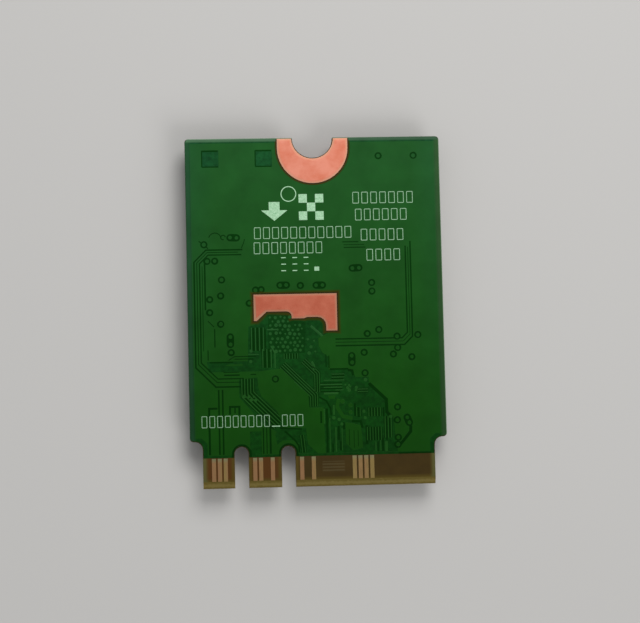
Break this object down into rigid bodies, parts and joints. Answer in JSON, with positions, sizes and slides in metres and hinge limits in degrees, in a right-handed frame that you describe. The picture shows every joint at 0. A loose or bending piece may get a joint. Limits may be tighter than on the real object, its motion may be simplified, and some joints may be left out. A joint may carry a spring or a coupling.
{
  "type": "laptop wireless card",
  "caption": "Small wireless network card with a keyed edge connector, half-round screw notch, bare screw land and, under it, a shield can and coaxial antenna receptacles.",
  "frame": {"origin": "on the surface the card lies on, under the middle of its bounding box", "axes": "+X across the card, +Y towards the screw notch, -Y towards the edge contacts, +Z out of the back of the board, which faces up"},
  "size_m": [0.022, 0.03, 0.0022],
  "materials": {
    "laminate": "glass epoxy, routed edge",
    "solder_mask": "green solder mask, satin",
    "gold_plating": "thin gold over nickel",
    "bare_copper": "bare copper with clear preservative",
    "tinned_land": "bare copper land, satin",
    "nickel_silver": "rolled nickel silver sheet",
    "moulding_compound": "moulded epoxy, matt",
    "ceramic": "fired ceramic",
    "ferrite": "pressed ferrite",
    "connector_plastic": "moulded liquid crystal polymer",
    "legend_ink": "white screened ink, thin",
    "solder": "reflowed solder, bright"
  },
  "bodies": {
    "root": {"band_filter_a": "ceramic", "band_filter_b": "ceramic", "bulk_capacitor_a": "ceramic", "bulk_capacitor_b": "ceramic", "circuit_board": "laminate", "contact_01": "gold_plating", "contact_02": "gold_plating", "contact_03": "gold_plating", "contact_04": "gold_plating", "contact_05": "gold_plating", "contact_06": "gold_plating", "contact_07": "gold_plating", "contact_16": "gold_plating", "contact_18": "gold_plating", "contact_22": "gold_plating", "contact_32": "gold_plating", "contact_33": "gold_plating", "contact_35": "gold_plating", "contact_36": "gold_plating", "contact_37": "gold_plating", "contact_39": "gold_plating", "contact_41": "gold_plating", "contact_43": "gold_plating", "contact_45": "gold_plating", "contact_47": "gold_plating", "contact_49": "gold_plating", "contact_50": "gold_plating", "contact_51": "gold_plating", "contact_52": "gold_plating", "contact_53": "gold_plating", "contact_54": "gold_plating", "contact_55": "gold_plating", "contact_56": "gold_plating", "contact_57": "gold_plating", "contact_63": "gold_plating", "contact_69": "gold_plating", "contact_75": "gold_plating", "diplexer_a": "ceramic", "diplexer_b": "ceramic", "front_end_module_a": "moulding_compound", "front_end_module_b": "moulding_compound", "heat_patch_back": "bare_copper", "memory_chip": "moulding_compound", "power_inductor_a": "ferrite", "power_inductor_b": "ferrite", "radio_chip": "moulding_compound", "receptacle_base_a": "connector_plastic", "receptacle_base_b": "connector_plastic", "receptacle_pin_a": "gold_plating", "receptacle_pin_b": "gold_plating", "receptacle_shell_a": "gold_plating", "receptacle_shell_b": "gold_plating", "reference_crystal": "nickel_silver", "screw_land_back": "tinned_land", "screw_land_front": "tinned_land", "shield_cover": "nickel_silver", "shield_frame": "nickel_silver", "solder_mask_back": "solder_mask", "solder_mask_front": "solder_mask", "voltage_regulator": "moulding_compound"}
  },
  "joints": []
}
